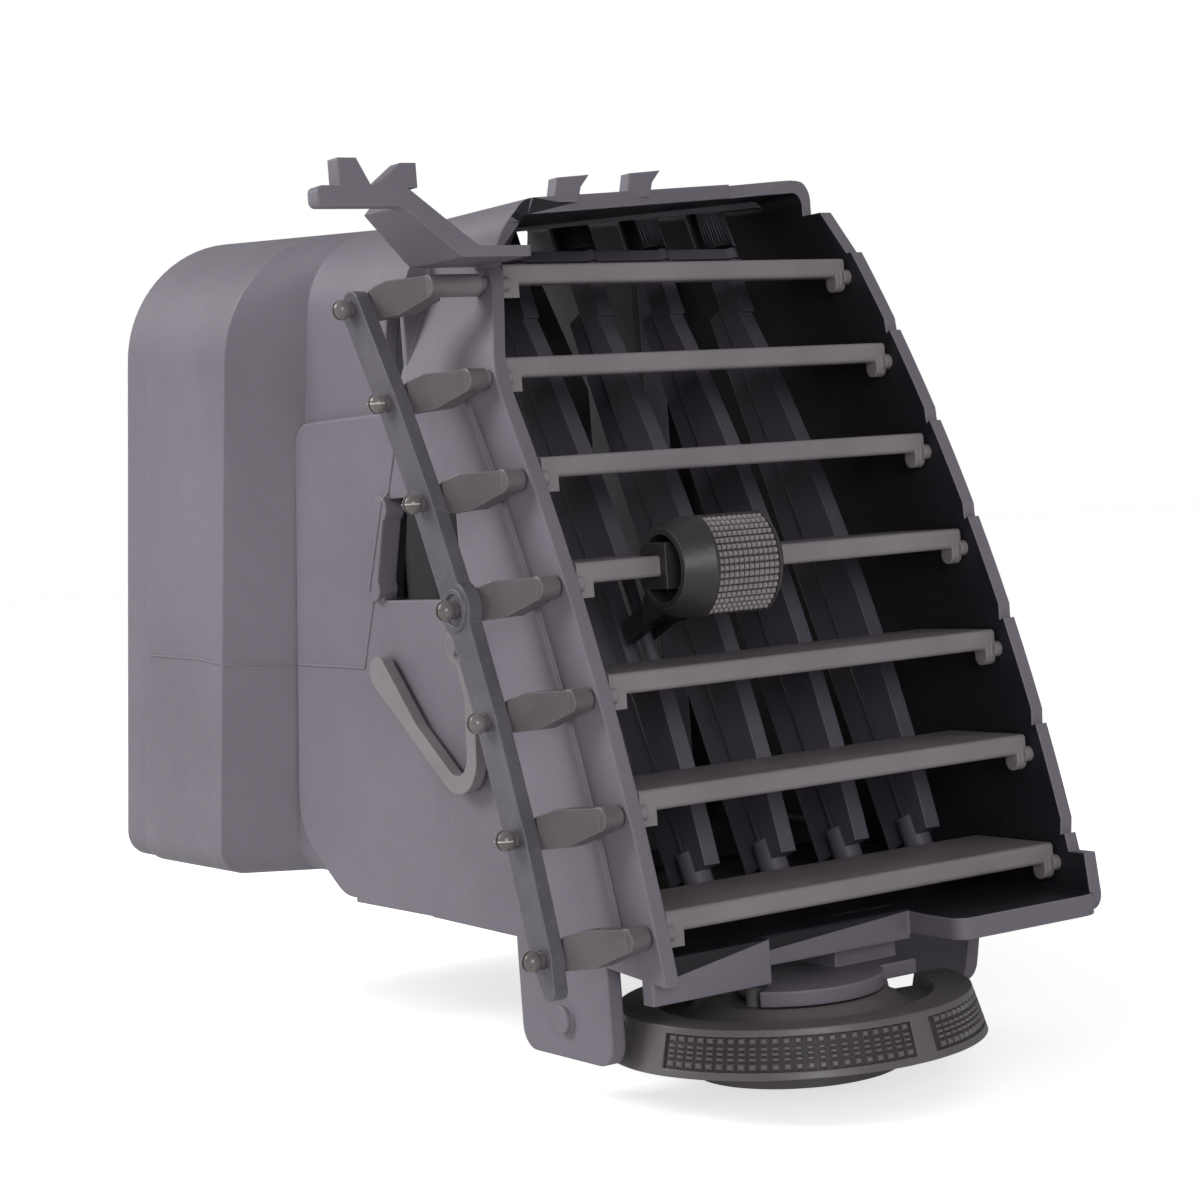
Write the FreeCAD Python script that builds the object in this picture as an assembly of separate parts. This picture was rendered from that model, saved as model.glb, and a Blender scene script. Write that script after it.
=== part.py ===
import FreeCAD, Part
import math
import os

os.makedirs("parts", exist_ok=True)

# All sizes in millimetres. X runs along the louvres, -Y is the side the air comes out of, Z is up.
# The origin is the middle louvre's pivot axis at the centre of the outlet.

# driving dimensions
outlet_width = 64.5
wall = 2.0
face_lean = 23.5
face_radius = 268.6
louvre_count = 7
louvre_pitch = 15.0
blade_chord = 15.6
blade_thick = 2.7
shaft_radius = 1.05
crank_back = 8.39
crank_drop = 2.08
link_thick = 1.9
link_width = 4.8
vane_pitch = 12.6
vane_side = 7.0
vane_axis_depth = 23.5
vane_chord = 12.0
vane_thick = 1.5
vane_top = 52.0
vane_low = -33.5
vane_lead = 6.3
vane_mid_x = 2.0
knob_radius = 7.3
knob_length = 14.7
wheel_radius = 24.4
wheel_height = 5.8
knurl_depth = 0.35
rod_throw = 9.0
flap_axis = 72.5
duct_recess = 1.4
tilt_up = 18.0

# fits
run_gap = 0.05
side_gap = 0.3
slide_gap = 0.1

half_in = outlet_width / 2
vane_count = 1 + int((outlet_width - 2 * vane_side) / vane_pitch)
half_out = half_in + wall
flap_front = half_in - duct_recess - 3.85
flap_rear = half_in - 3.65
lean = math.radians(face_lean)
middle = (louvre_count + 1) // 2
blade_left = -half_in + 0.5
blade_right = half_in - 0.5
crank_root = -half_out - 1.75
crank_tip = crank_root - 6.0
pin_radius = shaft_radius
vane_x0 = vane_mid_x - (vane_count - 1) / 2 * vane_pitch
vane_pin = 1.2
link_low = vane_top + 5.4
vane_crank = 2.6
tie_pin = 0.7
tie_thick = 1.6
wheel_x = -7.33
wheel_y = -7.03
wheel_low = -60.4
wheel_top = wheel_low + wheel_height
collar_top = wheel_top + 0.2
rod_low = collar_top + 2.5
throw_start = math.radians(200)
rim_station = 118.0
floor_low = -42.5


def vec(x, y, z):
    return FreeCAD.Vector(x, y, z)


def spot(plane, a, b, level):
    if plane == "yz":
        return vec(level, a, b)
    if plane == "xz":
        return vec(a, level, b)
    return vec(a, b, level)


def rounded(plane, corners, level):
    """Closed wire through (a, b, radius) corners, each corner rounded by a tangent arc."""
    edges = []
    ends = []
    count = len(corners)
    for i in range(count):
        ax, ay, _ = corners[i - 1]
        bx, by, r = corners[i]
        cx, cy, _ = corners[(i + 1) % count]
        if r <= 0:
            ends.append((bx, by, None, bx, by))
            continue
        ux, uy = ax - bx, ay - by
        wx, wy = cx - bx, cy - by
        ul, wl = math.hypot(ux, uy), math.hypot(wx, wy)
        ux, uy, wx, wy = ux / ul, uy / ul, wx / wl, wy / wl
        half = math.acos(max(-1, min(1, ux * wx + uy * wy))) / 2
        t = r / math.tan(half)
        sx, sy = ux + wx, uy + wy
        sl = math.hypot(sx, sy)
        m = r / math.sin(half) - r
        mid = (bx + sx / sl * m, by + sy / sl * m)
        ends.append((bx + ux * t, by + uy * t, mid, bx + wx * t, by + wy * t))
    for i in range(count):
        sx, sy, mid, ex, ey = ends[i]
        nx, ny = ends[(i + 1) % count][:2]
        if mid:
            arc = Part.Arc(spot(plane, sx, sy, level), spot(plane, mid[0], mid[1], level),
                           spot(plane, ex, ey, level))
            edges.append(arc.toShape())
        if math.hypot(nx - ex, ny - ey) > 1e-6:
            edges.append(Part.makeLine(spot(plane, ex, ey, level), spot(plane, nx, ny, level)))
    return Part.Wire(edges)


def prism(plane, corners, low, high):
    full = [c if len(c) == 3 else (c[0], c[1], 0) for c in corners]
    face = Part.Face(rounded(plane, full, low))
    return face.extrude(spot(plane, 0, 0, high - low))


def block(x0, x1, y0, y1, z0, z1):
    return Part.makeBox(x1 - x0, y1 - y0, z1 - z0, vec(x0, y0, z0))


def bar(plane, a, b, radius, low, high):
    """Cylinder across a plane: its axis stands at (a, b) and runs from low to high."""
    return Part.makeCylinder(radius, high - low, spot(plane, a, b, low), spot(plane, 0, 0, 1))


def strap(plane, p, q, half, low, high, half_end=None):
    """Flat bar between two points of a plane with round ends."""
    far = half if half_end is None else half_end
    dx, dy = q[0] - p[0], q[1] - p[1]
    size = math.hypot(dx, dy)
    nx, ny = -dy / size, dx / size
    corners = [(p[0] + nx * half, p[1] + ny * half), (p[0] - nx * half, p[1] - ny * half),
               (q[0] - nx * far, q[1] - ny * far), (q[0] + nx * far, q[1] + ny * far)]
    body = prism(plane, corners, low, high)
    return body.fuse([bar(plane, p[0], p[1], half, low, high),
                      bar(plane, q[0], q[1], far, low, high)])


def join(shapes):
    body = shapes[0].fuse(shapes[1:])
    return body.removeSplitter()


def leaned(shape):
    """Turn a shape drawn upright (Y = depth, Z = height) into the leaning face of the outlet."""
    shape.rotate(vec(0, 0, 0), vec(1, 0, 0), -face_lean)
    return shape


def moved(shape, x, y, z):
    shape.translate(vec(x, y, z))
    return shape


def save(name, shape):
    solids = shape.Solids
    if len(solids) == 1:
        shape = solids[0]
    shape.exportStep("parts/" + name + ".step")
    print(name, len(solids), round(shape.Volume), shape.isValid())


def arc_point(steps, ahead=0.0):
    """Point (y, z) on the curve of the louvre pivots, or ahead of it, counted in pitches."""
    turn = steps * louvre_pitch / face_radius
    reach = face_radius + ahead
    v = face_radius - reach * math.cos(turn)
    w = reach * math.sin(turn)
    return (v * math.cos(lean) + w * math.sin(lean), -v * math.sin(lean) + w * math.cos(lean))


def pivot(number):
    return arc_point(middle - number)


centre_y = face_radius * math.cos(lean)
centre_z = -face_radius * math.sin(lean)


# Housing: front frame with the outlet, rear duct, panel and fixings

shoulder_z = 27.0
neck_z = 40.0
neck_x = -half_out + 5.65
crown_x = neck_x + 0.9
step_y = 36.0
under_line = [(-60.0, -52.2), (15.0, -45.5), (90.0, -43.9)]


def left_wall(z):
    """Outer face of the left wall, which steps inwards towards the top."""
    if z < shoulder_z:
        return -half_out
    return -half_out + 5.65 * min(1.0, (z - shoulder_z) / (neck_z - shoulder_z))


def front_corners(inset):
    return [(-half_out + inset, -70, 0), (half_out - inset, -70, 0),
            (half_out - inset, 55 - inset, 3 - inset / 2), (crown_x + inset, 50 - inset, 5 - 1.9 * inset),
            (neck_x + inset, neck_z + inset / 3, 4 + inset), (-half_out + inset, shoulder_z + inset / 3, 15)]


def profile(inset, low_y, high_y):
    corners = [(low_y, 80)] + [(y, z + inset) for y, z in under_line] + [(high_y, 80)]
    return prism("yz", corners, -70, 70)


def duct_section(station, tilt, left, inset, corner):
    """Rounded section of the duct; its plane leans back by the rim's slope."""
    squash = math.cos(tilt)
    slope = math.tan(tilt)

    def top(x):
        base = 53.2 + 0.077 * (station - 60) + 0.075 * x
        return (base - inset) / (1 + 0.077 * slope)
    right = half_out - inset
    corners = [(left + inset, floor_low + inset, max(4.5 - inset, 1)),
               (right, floor_low + inset, max(3 - inset, 1)),
               (right, top(right), max(3 - inset, 1)),
               (left + inset, top(left), corner - inset)]
    wire = rounded("xz", [(x, z / squash, r) for x, z, r in corners], 0)
    wire.rotate(vec(0, 0, 0), vec(1, 0, 0), math.degrees(tilt))
    wire.translate(vec(0, station, 0))
    return wire


def duct(inset, start, end):
    lean_back = math.atan(0.2)
    recess = -half_out + duct_recess
    flare = -half_out - 8.0
    stations = [(start, 0.0, recess, 12), (61, lean_back, recess, 12), (72 + inset / 2, lean_back, recess, 12),
                (80 + inset / 2, lean_back, flare, 18), (108, lean_back, flare, 18),
                (110, lean_back, flare + 1.2, 18), (end, lean_back, flare + 1.2, 18)]
    pieces = []
    for first, last in zip(stations, stations[1:]):
        wires = [duct_section(s, t, left, inset, corner) for s, t, left, corner in (first, last)]
        pieces.append(Part.makeLoft(wires, True, True))
    return join(pieces)


outer_front = prism("xz", front_corners(0), -30, step_y + wall)
outer_front = outer_front.common(profile(0, -60, 90))
face_left = bar("yz", centre_y, centre_z, face_radius + 2, -90, 28)
face_right = bar("yz", centre_y, centre_z, face_radius + 3, 28, 90)
visor = outer_front.common(prism("xy", [(-36, 12.4), (16, 26.2), (16, 40), (-36, 40)], 40, 62))
visor = visor.common(prism("yz", [(20, 42), (14, 49.5), (14, 60), (45, 60), (45, 42)], -60, 60))
outer_front = outer_front.common(face_left.fuse(face_right)).fuse(visor)
outer_front = outer_front.cut(prism("xy", [(16, 0), (16, 26.2), (40, 32.6), (40, 0)], 49.5, 60))
outer_front = outer_front.cut(prism("yz", [(15, 43), (21, 43), (31.5, 55.5), (15, 55.5)], half_in - 2, half_in + 4))

panel_low = floor_low - 2.4
panel = prism("yz", [(30, panel_low, 0), (30, 24.2, 0), (68, 24.2, 4), (76.7, -35.6, 8), (63.7, panel_low + 0.7, 8)],
              -half_out, -half_in)
panel_foot = block(-half_out, half_out, step_y, 60, panel_low, floor_low + 1)
envelope = join([outer_front, duct(0, step_y, rim_station), panel, panel_foot])

cavity_front = prism("xz", front_corners(wall), -60, step_y + 2 * wall)
cavity_front = cavity_front.common(profile(wall, -60, 90))
cavity_front = cavity_front.common(block(-60, 60, -60, step_y + 2 * wall, floor_low + wall, 90)
                                   .fuse(block(-60, 60, -60, step_y, -70, 90)))
cavity = cavity_front.fuse(duct(wall, step_y + wall, rim_station + 4))
housing = envelope.cut(cavity)

# front edge of the floor: left lip, middle set back, right lip plate reaching forward
housing = housing.cut(block(-half_in, -15.7, -40, -13, -70, -43.5))
housing = housing.cut(block(-15.8, 9, -40, -11, -70, -43.5))
left_lip = block(-half_out, -16.5, -15, -12.8, -51, -45.5)
middle_lip = block(-16.5, 9, -11.2, -9.6, -49.6, -46)
right_lip = prism("xy", [(9, -21.5, 2), (half_out, -21.5, 4), (half_out, 1, 0), (9, 1, 0)], -49, -46.2)
right_foot = prism("yz", [(-20, -41, 0), (-21, -49, 2.5), (-9, -49, 0), (-9, -41, 0)], half_in, half_out)

# stand for the thumbwheel: post, bearing plate and spindle
plate_low = collar_top + side_gap
plate_top = rod_low - 0.3
plate = bar("xy", wheel_x, wheel_y, 11.6, plate_low, plate_top)
sweep = [(wheel_x, wheel_y)]
for angle in (98, 130, 155, 185, 212):
    sweep.append((wheel_x + 18 * math.cos(math.radians(angle)), wheel_y + 18 * math.sin(math.radians(angle))))
swept = prism("xy", sweep, plate_low - 1, plate_top + 1).cut(bar("xy", wheel_x, wheel_y, 7, -80, -40))
plate = plate.cut(swept)
plate = plate.fuse(block(wheel_x, 9, wheel_y - 5, 1, plate_low, plate_top))
post = block(-1, 9, -8, 0, plate_low, -45.4)
spindle = bar("xy", wheel_x, wheel_y, 3, wheel_low - 3.4, plate_top)

# bearings of the upright vanes
bearings = []
sockets = []
for i in range(vane_count):
    x = vane_x0 + i * vane_pitch
    bearings.append(leaned(bar("xy", x, vane_axis_depth, 3, vane_top + 8, vane_top + 18)))
    bearings.append(leaned(bar("xy", x, vane_axis_depth, 2.6, vane_low - 8, vane_low - 2.5)))
    sockets.append(leaned(bar("xy", x, vane_axis_depth, vane_pin + run_gap, vane_low - 4.3, vane_top + 10.3)))

# bearings and stops of the shut-off flap
seal_side = 1.6
flap_ceiling = 53.2 + 0.077 * (flap_axis - 60) - wall
bearings.append(bar("xy", 0, flap_axis, 4, flap_ceiling - 1.8, flap_ceiling + 1))
stop_y = flap_axis + seal_side + slide_gap
near_y = flap_axis - seal_side - slide_gap
stops = [block(-44, -flap_front, stop_y, stop_y + wall, -41.5, 23),
         block(flap_rear - 0.5, half_in + 0.5, near_y - wall, near_y, -41.5, 44),
         prism("xz", [(-44, 20), (-flap_front, 20), (-flap_front, 24), (-12, 47.5), (-12, 62), (-44, 62)],
               stop_y, stop_y + wall)]
inside = join(bearings + stops).common(envelope)
floor_boss = bar("xy", 0, flap_axis, 4, floor_low - 2, floor_low + 0.5)
sockets.append(bar("xy", 0, flap_axis, 1.6 + run_gap, floor_low - 5, flap_ceiling + 0.8))

# fixings: pronged bracket, snap hooks and tabs
arm_left = -57.7
arm_top = 51.2
arm_end = 42.2
arm_front = 10.8
arm_root = neck_x + 1
bracket_arm = prism("xz", [(arm_left, arm_top - 2.6, 0.8), (arm_left, arm_top, 0.8), (-45.4, arm_top, 2),
                           (-35.3, arm_end + 1.4, 1), (arm_root, arm_end + 1.4, 0), (arm_root, arm_end, 0),
                           (-37.8, arm_end, 1), (-46, arm_top - 2.6, 2)], arm_front, arm_front + 2.6)
bracket_web = prism("xz", [(-44.9, arm_top - 1), (-35.6, arm_end + 1.1), (arm_root, arm_end + 1.1),
                           (arm_root, arm_end), (-37.8, arm_end), (-46, arm_top - 2.5)], arm_front + 1.7, 24)
bracket_web = bracket_web.cut(prism("yz", [(12, 52), (19, 52), (24.5, 42), (24.5, 60), (12, 60)], -60, -20))
prongs = [prism("xz", [(-54.6, arm_top - 0.3), (-54.6, arm_top + 3.4), (-52, arm_top + 3.4), (-50, arm_top - 0.3)],
                arm_front, arm_front + 2.6),
          prism("xz", [(-43.6, arm_top - 0.3), (-43.6, arm_top + 2.8), (-45.8, arm_top + 2.8), (-49.8, arm_top - 0.3)],
                arm_front, arm_front + 2.6)]
top_hooks = [prism("xz", [(x, base - 1), (x + 0.7, base + 2.2), (x + 5.8, base + 2.6), (x + 4.4, base + 1),
                          (x + 3.8, base - 1)], y, y + 2) for x, y, base in ((-19.6, 16.9, 50.9), (-5.2, 21, 52.1))]
left_tab = prism("yz", [(-5, -46, 0), (-5, -60, 3), (16, -60, 3), (16, -44, 0)], -half_out, -half_in)
left_bump = bar("yz", 5.5, -55, 1.8, -half_out - 0.8, -half_in)
right_tab = prism("yz", [(2, -44, 0), (6, -62, 4), (26, -60, 4), (28, -44, 0)], half_in, half_out)
ledges = []
for steps in (2.5, -0.5, -2.6):
    y, z = arc_point(steps)
    ledges.append(block(half_out - 0.5, half_out + 1.4, y + 2, y + 12, z - 1, z + 1))
spring_boss = bar("yz", 22.4, -7.4, 2.6, -half_out - 0.5, -half_in)
spring_peg = bar("yz", 22.4, -7.4, 1.3, -half_out - 3, -half_in)
edge_rib = bar("yz", centre_y, centre_z, face_radius - 5.2, -half_out - 0.6, -half_in)
edge_rib = edge_rib.cut(bar("yz", centre_y, centre_z, face_radius - 6.2, -half_out - 1, -half_in + 1))
edge_rib = edge_rib.common(block(-40, -20, -30, step_y, under_line[1][1], shoulder_z))

housing = join([housing, left_lip, middle_lip, right_lip, right_foot, plate, post, spindle, inside, floor_boss,
                bracket_arm, bracket_web, left_tab, left_bump, right_tab, spring_boss, spring_peg, edge_rib]
               + prongs + top_hooks + ledges)

# openings, and the catch at the rear edge of the window
window = prism("yz", [(23.4, -1.5, 2.5), (45.6, -1.5, 1), (42.2, 12.5, 1), (23.4, 12.5, 2.5)],
               -half_out - 1, -half_in + 2)
slot = prism("yz", [(37, 28, 0.8), (43, 28, 0.8), (40.5, 38, 0.8), (37, 38, 0.8)], -40, -half_in + 3.5)
catch_top = (42.6, 11.2)
catch_low = (46.2, 0.2)
catch = strap("yz", catch_top, catch_low, 1.0, -half_out - 0.9, -half_in)
for y, z in (catch_top, catch_low):
    catch = catch.fuse(bar("yz", y, z, 1.7, -half_out - 0.9, -half_in))
shaft_holes = []
notches = []
for number in range(1, louvre_count + 1):
    y, z = pivot(number)
    shaft_holes.append(bar("yz", y, z, shaft_radius + run_gap, -half_out - 1, -half_in + 8))
    shaft_holes.append(bar("yz", y, z, shaft_radius + run_gap, half_in - 1, half_in + 1.6))
    y0, z0 = arc_point(middle - number + 0.22, 3.4)
    y1, z1 = arc_point(middle - number + 0.22, 2.2)
    y2, z2 = arc_point(middle - number + 0.42, 3.4)
    notches.append(prism("yz", [(y0, z0), (y1, z1), (y2, z2)], half_in - 1, half_out + 1))
housing = housing.cut([window, slot] + shaft_holes + notches + sockets).fuse(catch).removeSplitter()
save("duct_housing", housing)


# Louvres: blade, pivots, crank paddle and ball-headed pin

pin_y = crank_back
pin_z = -crank_drop
collar_radius = 1.5


def crank():
    """Slanting paddle from the pivot to the pin, drawn about the pivot axis."""
    dx, dy = crank_tip - crank_root, crank_back
    size = math.hypot(dx, dy)
    nx, ny = -dy / size * 1.1, dx / size * 1.1
    plan = [(crank_root + nx, ny), (crank_root - nx, -ny), (crank_tip - nx, dy - ny), (crank_tip + nx, dy + ny)]
    throw = math.hypot(crank_back, crank_drop)
    ay, az = crank_back / throw, -crank_drop / throw
    side = []
    for along, across in ((-2, 1.3), (0, 1.4), (throw / 2, 2.4), (throw, 1.7), (throw + 2, 1.2),
                          (throw + 2, -1.2), (throw, -1.7), (throw / 2, -2.4), (0, -1.4), (-2, -1.3)):
        side.append((ay * along - az * across, az * along + ay * across))
    paddle = prism("xy", plan, -8, 8).common(prism("yz", side, crank_tip, crank_root + 3))
    root = bar("yz", 0, 0, collar_radius, crank_root - 1.3, crank_root + 0.6)
    tip = bar("yz", pin_y, pin_z, 1.6, crank_tip, crank_tip + 1.6)
    pin = bar("yz", pin_y, pin_z, pin_radius, crank_tip - 3.5, crank_tip + 1)
    head = Part.makeSphere(1.35, vec(crank_tip - 3.5, pin_y, pin_z))
    slit = block(crank_tip - 6, crank_tip - 2.6, pin_y - 0.3, pin_y + 0.3, pin_z - 3, pin_z + 3)
    return join([paddle, root, tip, pin, head]).cut(slit)


def louvre(number):
    y, z = pivot(number)
    wall_x = left_wall(z)
    left = max(blade_left, wall_x + wall + 1.0)
    blade = prism("yz", [(-0.2, 0, 0.6), (-0.2, blade_thick, 0.6), (blade_chord - 0.2, blade_thick, 0.4),
                         (blade_chord - 0.2, blade_thick - 1.2, 0.4), (2.5, 0, 3)], left, blade_right)
    if number == 1:
        blade = blade.cut(prism("xy", [(left - 1, blade_chord - 4.2), (left + 3.8, blade_chord + 1),
                                       (left - 1, blade_chord + 1)], -5, 5))
    raised = z + blade_chord * math.sin(math.radians(tilt_up)) + blade_thick
    rear_left = left_wall(raised) + wall + 0.8
    if rear_left > left:
        blade = blade.cut(prism("xy", [(left - 1, 0.5), (left, 0.5), (rear_left, blade_chord),
                                       (left - 1, blade_chord)], -5, 5))
    behind_face = block(left - 1, blade_right + 1, -0.2, 5, -5, 5)
    lobe = bar("yz", 0, 0, 1.8, left, left + 2.4).common(behind_face)
    lug = strap("yz", (1, 1), (1, -0.9), 1.2, blade_right - 1.6, blade_right)
    shaft = bar("yz", 0, 0, shaft_radius, wall_x - 1.5, left + 0.6)
    collar = bar("yz", 0, 0, collar_radius, crank_root - 0.5, left_wall(z - collar_radius) - side_gap)
    stub = bar("yz", 0, 0, shaft_radius, blade_right - 0.6, half_in + 1.4)
    body = join([blade, lobe, lug, shaft, collar, stub, crank()])
    return moved(body, 0, y, z)


for number in range(1, louvre_count + 1):
    save("louvre_%d" % number, louvre(number))

# Bar that ties the louvre cranks together

pins = [(pivot(n)[0] + pin_y, pivot(n)[1] + pin_z) for n in range(1, louvre_count + 1)]
link_high = crank_tip - side_gap
link_far = link_high - link_thick
bars = [strap("yz", p, q, link_width / 2, link_far, link_high) for p, q in zip(pins, pins[1:])]
boss = pins[middle - 1]
bars.append(bar("yz", boss[0], boss[1], 3.5, link_far, link_high))
tail = pins[-1]
bars.append(strap("yz", tail, (tail[0] - 1.2, tail[1] - 3.6), link_width / 2, link_far, link_high, 1.4))
link = join(bars)
link = link.cut([bar("yz", y, z, pin_radius + run_gap, link_far - 1, link_high + 1) for y, z in pins])
save("louvre_link", link)


# Sliding knob on the middle louvre and its fork

knob_x = -11.3
fork_x = vane_x0 + vane_pitch
knob_y = -0.5
knob_z = 1.0
knob_low = knob_x - knob_length / 2
knob_high = knob_x + knob_length / 2
knurl_start = knob_low + 4.05
knurl_end = knob_high - 1.15
knob_root = knob_radius - knurl_depth

profile_half = [vec(knob_low, 0, 0), vec(knob_low, knob_radius - 2.1, 0),
                vec(knurl_start - 0.4, knob_radius, 0), vec(knurl_start, knob_radius, 0),
                vec(knurl_start, knob_root, 0), vec(knurl_end, knob_root, 0),
                vec(knurl_end, knob_radius, 0), vec(knurl_end + 0.3, knob_radius, 0),
                vec(knob_high, knob_radius - 0.9, 0), vec(knob_high, 0, 0), vec(knob_low, 0, 0)]
turned = Part.Face(Part.makePolygon(profile_half)).revolve(vec(0, 0, 0), vec(1, 0, 0), 360)
knob = moved(turned, 0, knob_y, knob_z)
knob = knob.common(block(knob_low - 1, knob_high + 1, -20, 6.2, knob_z - knob_radius + 0.9,
                         knob_z + knob_radius - 0.9))
slot_low = -slide_gap
slot_high = blade_thick + slide_gap
knob = knob.cut(block(knob_low - 1, knob_high + 1, -0.2 - slide_gap, 20, slot_low, slot_high))
hollow = bar("yz", knob_y, knob_z, knob_radius - 2.9, knob_low - 1, knob_low + 3)
knob = knob.cut(hollow.cut(block(-40, 40, -1.6, 20, -1.6, 4.3)))
seat = block(fork_x - 3.2, fork_x + 3.2, 3.0, 8, -8, slot_low - 1.2)
knob = knob.cut(seat)
save("knob", knob)

rail_radius = 0.9
rail_v = vane_axis_depth - vane_lead + 0.95
prong_reach = rail_v + 1.45
prong_gap = rail_radius + slide_gap
arms = []
for inner in (-prong_gap - 1, prong_gap):
    arms.append(leaned(block(inner, inner + 1, 8.5, prong_reach, -1.6, 1.6)))
root = prism("yz", [(3.0, -5.2), (3.0, slot_low - 1.2), (9.4, slot_low - 1.2), (11.5, -3.0), (11.5, -6.6), (6.4, -5.2)],
             -3.2, 3.2)
fork = moved(join([root] + arms), fork_x, 0, 0)
save("knob_fork", fork)


# Upright vanes behind the louvres

vane_front = vane_axis_depth - vane_lead
vane_rear = vane_front + vane_chord
peg_v = vane_axis_depth - vane_crank


def edge_depth(w):
    return vane_front + w * w / (2 * face_radius)


def bowed(back_off, thick, low, high):
    """Upright plate whose front edge follows the curve of the louvres."""
    mid = (low + high) / 2
    front = Part.Arc(vec(0, edge_depth(low), low), vec(0, edge_depth(mid), mid), vec(0, edge_depth(high), high))
    end = [vec(0, edge_depth(high), high), vec(0, back_off(high), high), vec(0, back_off(low), low),
           vec(0, edge_depth(low), low)]
    edges = [front.toShape()] + [Part.makeLine(a, b) for a, b in zip(end, end[1:])]
    face = Part.Face(Part.Wire(edges))
    return moved(face.extrude(vec(thick, 0, 0)), -thick / 2, 0, 0)


def vane(number):
    plate = bowed(lambda w: vane_rear, vane_thick, vane_low, vane_top)
    strip = bowed(lambda w: edge_depth(w) + 3.4, vane_thick + 0.9, vane_low, vane_top)
    neck = block(-1.2, 1.2, vane_axis_depth - 2.5, vane_axis_depth + 2, vane_top - 3, vane_top + 5)
    reach = block(-0.95, 0.95, peg_v - 1.25, vane_axis_depth + 2, vane_top + 2.6, vane_top + 5)
    axle = bar("xy", 0, vane_axis_depth, vane_pin, vane_low - 4, vane_top + 10)
    root = bar("xy", 0, vane_axis_depth, 2.0, vane_low - 2.2, vane_low + 3)
    head = bar("xy", 0, vane_axis_depth, 2.0, vane_top + 4, link_low - slide_gap)
    peg = bar("xy", 0, peg_v, tie_pin, vane_top + 4, link_low + tie_thick + 0.2)
    body = join([plate, strip, neck, reach, axle, root, head, peg])
    if number == 2:
        hole = block(-5, 5, vane_front + 1.85, vane_front + 4.4, -7.2, 9)
        grip = block(-5, 5, vane_front - 2, vane_front + 5, -7.2, 9)
        rail = bar("xy", 0, rail_v, rail_radius, -8, 10)
        body = join([body.cut([hole, grip]), rail, block(-0.75, 0.75, vane_front + 4.9, vane_rear - 1, -8, 10)])
    return moved(leaned(body), vane_x0 + (number - 1) * vane_pitch, 0, 0)


for number in range(1, vane_count + 1):
    save("vane_%d" % number, vane(number))

vane_xs = [vane_x0 + i * vane_pitch for i in range(vane_count)]
tie = strap("xy", (vane_xs[0], peg_v), (vane_xs[-1], peg_v), 0.8, link_low, link_low + tie_thick)
tie = tie.fuse([bar("xy", x, peg_v, tie_pin + 0.55, link_low, link_low + tie_thick) for x in vane_xs])
tie = tie.cut([bar("xy", x, peg_v, tie_pin + run_gap, link_low - 1, link_low + 3) for x in vane_xs])
save("vane_link", leaned(tie))


# Thumbwheel with its clip

bore = 3 + run_gap
wheel_slope = 1.7 / wheel_height
hub_radius = 13.3
clip_pocket = 6.6


def turned_ring(outline):
    section = Part.makePolygon([vec(r, 0, z) for r, z in outline + outline[:1]])
    return Part.Face(section).revolve(vec(0, 0, 0), vec(0, 0, 1), 360)


def sector(start, end, reach):
    """Wedge about the wheel's axis between two angles."""
    points = [(0, 0)]
    for share in (0, 0.5, 1):
        angle = math.radians(start + (end - start) * share)
        points.append((reach * math.cos(angle), reach * math.sin(angle)))
    return prism("xy", points, wheel_low - 5, wheel_top + 5)


def rim_at(z):
    return wheel_radius - (z - wheel_low) * wheel_slope


ring = [(bore, collar_top), (11.5, collar_top), (14.5, wheel_top - 1.6), (17.6, wheel_top - 1.6), (18, wheel_top),
        (rim_at(wheel_top), wheel_top), (wheel_radius, wheel_low), (wheel_radius - 2.2, wheel_low),
        (wheel_radius - 2.6, wheel_low + 2.2), (hub_radius, wheel_low + 2.2), (hub_radius, wheel_low - 3.6),
        (clip_pocket, wheel_low - 3.6), (clip_pocket, wheel_low - 1.6), (bore, wheel_low - 1.6)]
band_low = wheel_low + 0.9
band_high = wheel_top - 0.8
band = [(rim_at(band_low) - knurl_depth, band_low), (rim_at(band_high) - knurl_depth, band_high),
        (wheel_radius + 2, band_high), (wheel_radius + 2, band_low)]
wide_pad = (165, 189.4)
small_pad = (270.2, 277.8)
gap_angles = (-8.6, 20)
clear_of_rim = wheel_radius + 10
pads = [sector(start, end, clear_of_rim) for start, end in (wide_pad, small_pad)]
rim_gap = sector(gap_angles[0], gap_angles[1], clear_of_rim).cut(bar("xy", 0, 0, hub_radius + 1.7, -80, -40))
peg_x = rod_throw * math.cos(throw_start)
peg_y = rod_throw * math.sin(throw_start)
drive_pin = bar("xy", peg_x, peg_y, 1.1, collar_top - 1, rod_low + 2.1)
wheel = turned_ring(ring).cut([turned_ring(band).cut(pads), rim_gap])
wheel = moved(join([wheel, drive_pin]), wheel_x, wheel_y, 0)
save("thumbwheel", wheel)
clip = bar("xy", wheel_x, wheel_y, 5.6, wheel_low - 3.2, wheel_low - 1.6 - side_gap)
clip = clip.cut(bar("xy", wheel_x, wheel_y, 3, -90, -40))
save("wheel_clip", clip)


# Rod, crank, flap and seal of the shut-off

rod_start = (wheel_x + peg_x, wheel_y + peg_y)
rod_end = (peg_x, flap_axis + peg_y)
rod = strap("xy", rod_start, rod_end, 2.0, rod_low, rod_low + 1.8)
rod = rod.cut([bar("xy", p[0], p[1], 1.1 + run_gap, -80, -40) for p in (rod_start, rod_end)])
save("damper_rod", rod)

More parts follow.
